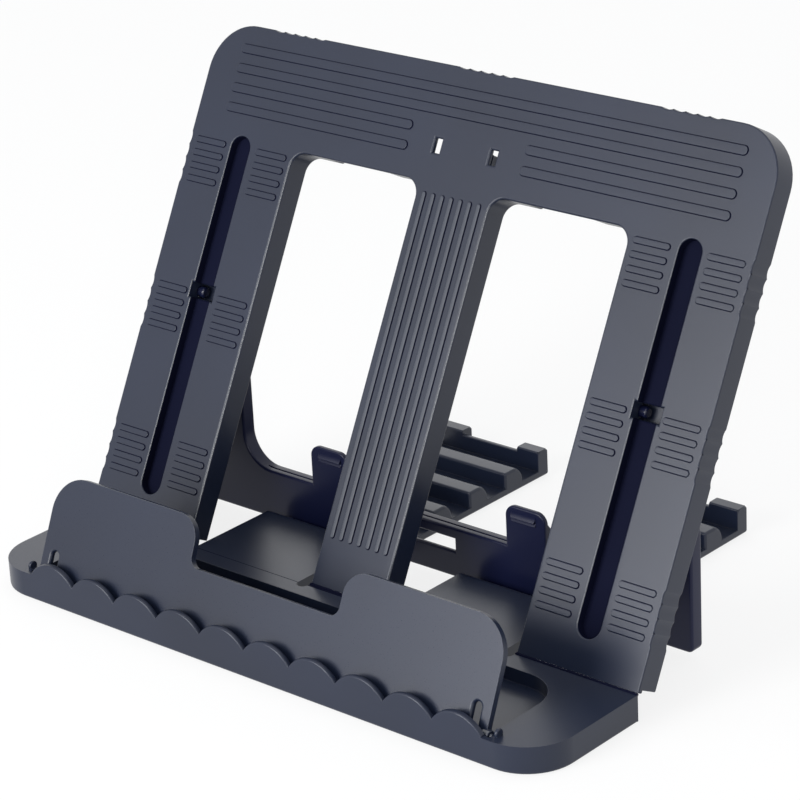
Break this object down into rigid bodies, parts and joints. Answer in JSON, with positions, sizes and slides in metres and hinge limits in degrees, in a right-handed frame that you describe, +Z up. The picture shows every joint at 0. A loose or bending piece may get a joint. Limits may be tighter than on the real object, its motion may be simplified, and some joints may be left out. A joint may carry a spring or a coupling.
{
  "type": "book stand",
  "caption": "Folding plastic book stand: a shelf with ratchet arms, a windowed back panel, a swinging leg frame and a page-holding flap.",
  "frame": {"origin": "on the table, under the middle of the stand's bounding box", "axes": "+X runs along the shelf to the reader's right, +Y points away from the reader along the ratchet arms, +Z is up"},
  "size_m": [0.243, 0.184, 0.1697],
  "materials": {
    "shelf_plastic": "satin",
    "panel_plastic": "satin",
    "leg_plastic": "satin",
    "flap_plastic": "satin"
  },
  "bodies": {
    "base": {"base": "shelf_plastic"},
    "back_panel": {"back_panel": "panel_plastic"},
    "leg_frame": {"leg_frame": "leg_plastic"},
    "page_flap": {"page_flap": "flap_plastic"}
  },
  "joints": [
    {"name": "panel_tilt", "type": "hinge", "parent": "base", "child": "back_panel", "pos_m": [0, -0.042, 0.0096], "axis": [1, 0, 0], "range_deg": [0, 57]},
    {"name": "leg_swing", "type": "hinge", "parent": "back_panel", "child": "leg_frame", "pos_m": [0, 0.00284, 0.08231], "axis": [1, 0, 0], "range_deg": [-20, 0]},
    {"name": "flap_hinge", "type": "hinge", "parent": "base", "child": "page_flap", "pos_m": [0, -0.0879, 0.00845], "axis": [1, 0, 0], "range_deg": [-66.6, 28.2]}
  ],
  "couplings": [
    {"joint": "leg_swing", "follows": "panel_tilt", "ratio": -0.35}
  ]
}
